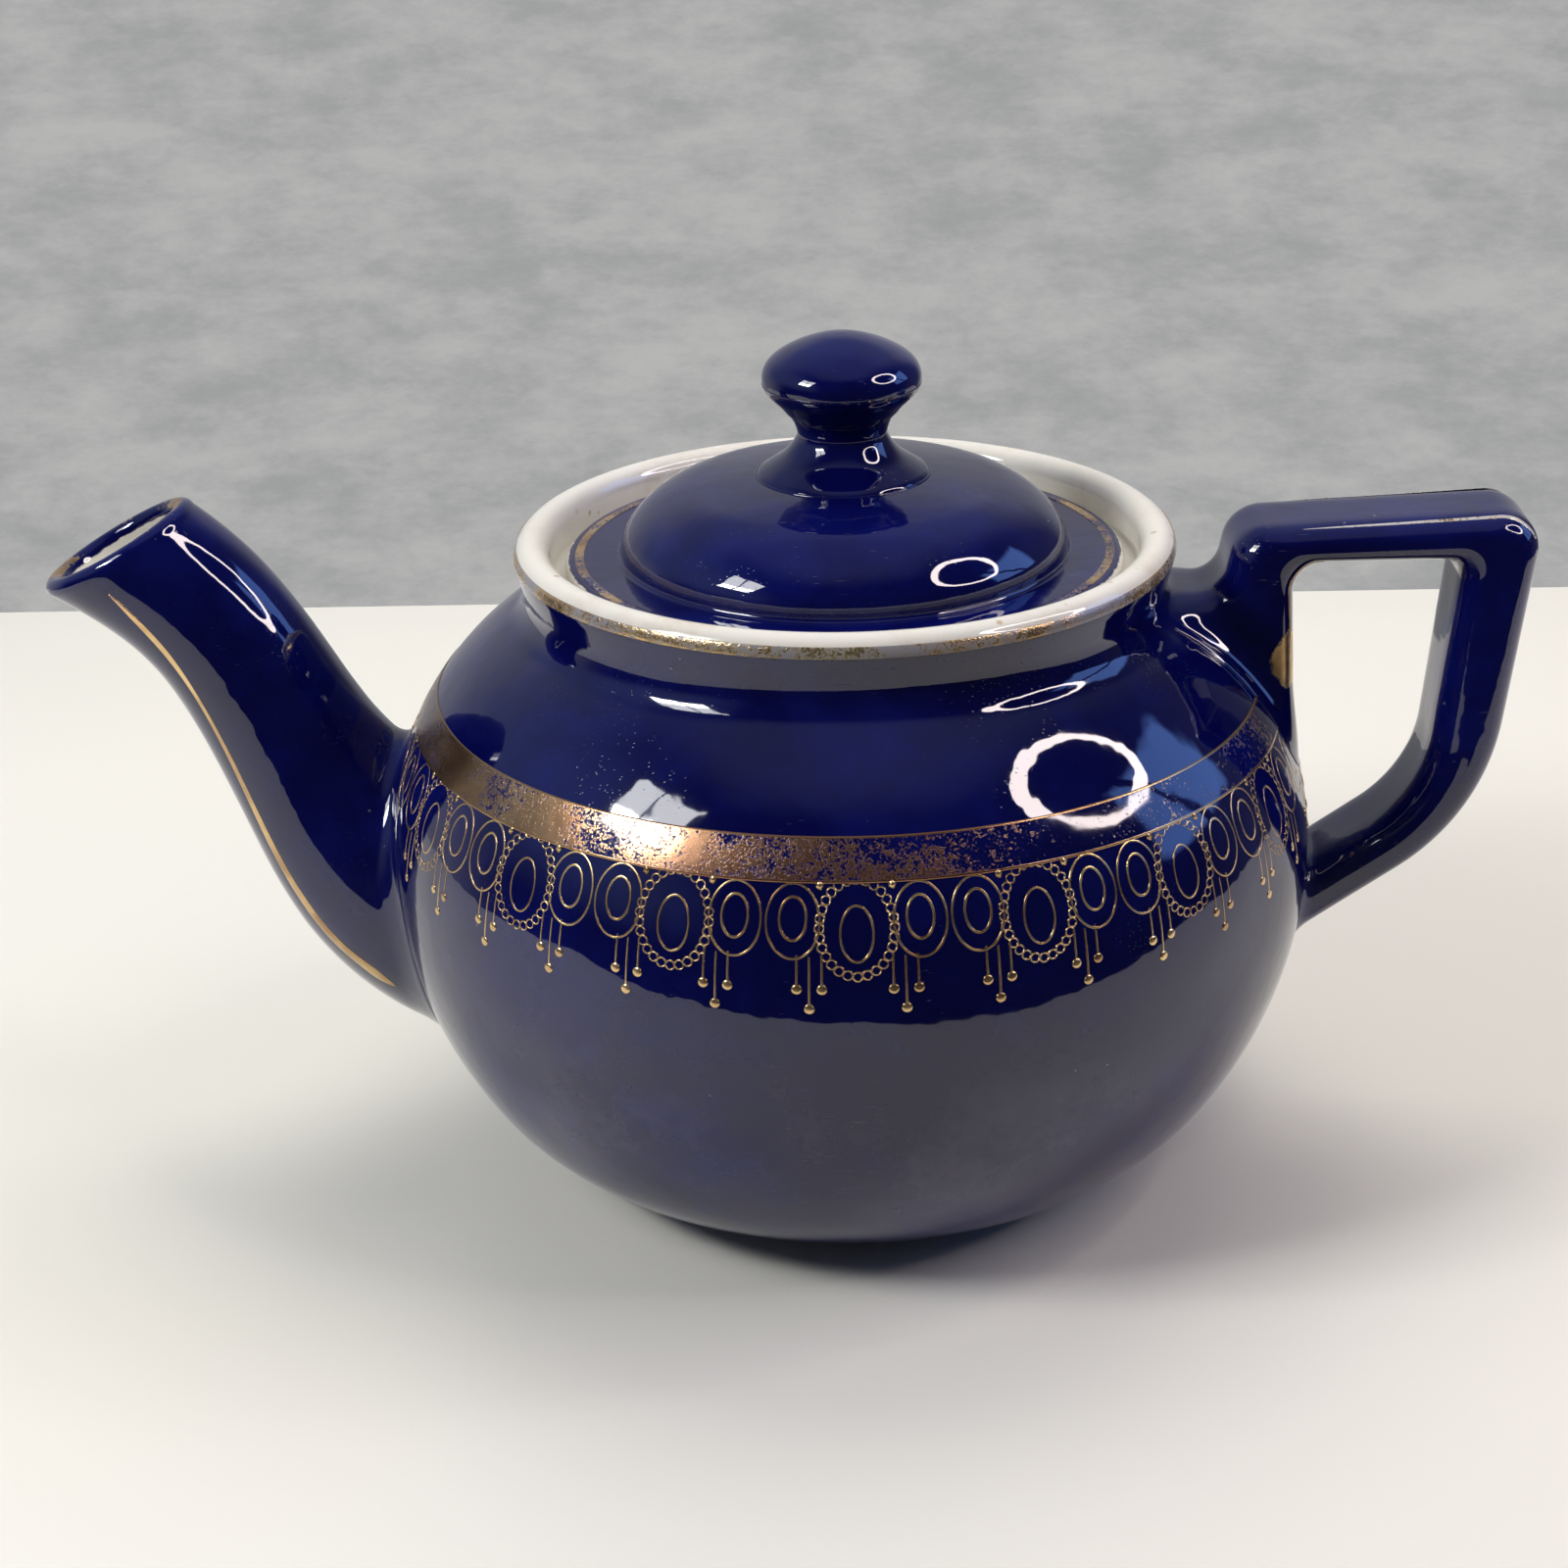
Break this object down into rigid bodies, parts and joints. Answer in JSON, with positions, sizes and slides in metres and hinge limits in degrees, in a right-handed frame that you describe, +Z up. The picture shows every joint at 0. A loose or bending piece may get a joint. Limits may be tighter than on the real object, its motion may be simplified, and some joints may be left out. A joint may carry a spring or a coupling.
{
  "type": "teapot",
  "caption": "Round glazed ceramic teapot with a curved spout, a square-cornered loop handle, a low collar and a sunken lift-off lid with a mushroom knob, gilded on the shoulder.",
  "frame": {"origin": "on the pot's axis, in the plane that the foot ring stands on", "axes": "+Z up along the pot's axis, +X towards the handle, the spout towards -X"},
  "size_m": [0.2367, 0.149, 0.1369],
  "materials": {
    "cobalt_glaze_pot": "deep cobalt-blue gloss glaze over pale clay",
    "cobalt_glaze_spout": "deep cobalt-blue gloss glaze over pale clay",
    "cobalt_glaze_handle": "deep cobalt-blue gloss glaze over pale clay",
    "cobalt_glaze_lid": "deep cobalt-blue gloss glaze over pale clay",
    "cobalt_glaze_knob": "deep cobalt-blue gloss glaze over pale clay",
    "luting_slip": "fired slip under the same glaze",
    "worn_gilding": "fired gilding, rubbed and speckled"
  },
  "bodies": {
    "pot": {"pot_body": "cobalt_glaze_pot", "spout": "cobalt_glaze_spout", "spout_slip": "luting_slip", "handle": "cobalt_glaze_handle", "handle_upper_slip": "luting_slip", "handle_lower_slip": "luting_slip", "shoulder_band": "worn_gilding", "lip_line": "worn_gilding"},
    "lid": {"lid": "cobalt_glaze_lid", "lid_knob": "cobalt_glaze_knob", "knob_slip": "luting_slip", "lid_line": "worn_gilding", "knob_line": "worn_gilding"}
  },
  "joints": [
    {"name": "lid_lift", "type": "slide", "parent": "pot", "child": "lid", "axis": [0, 0, 1], "range_m": [0, 0.06]}
  ]
}
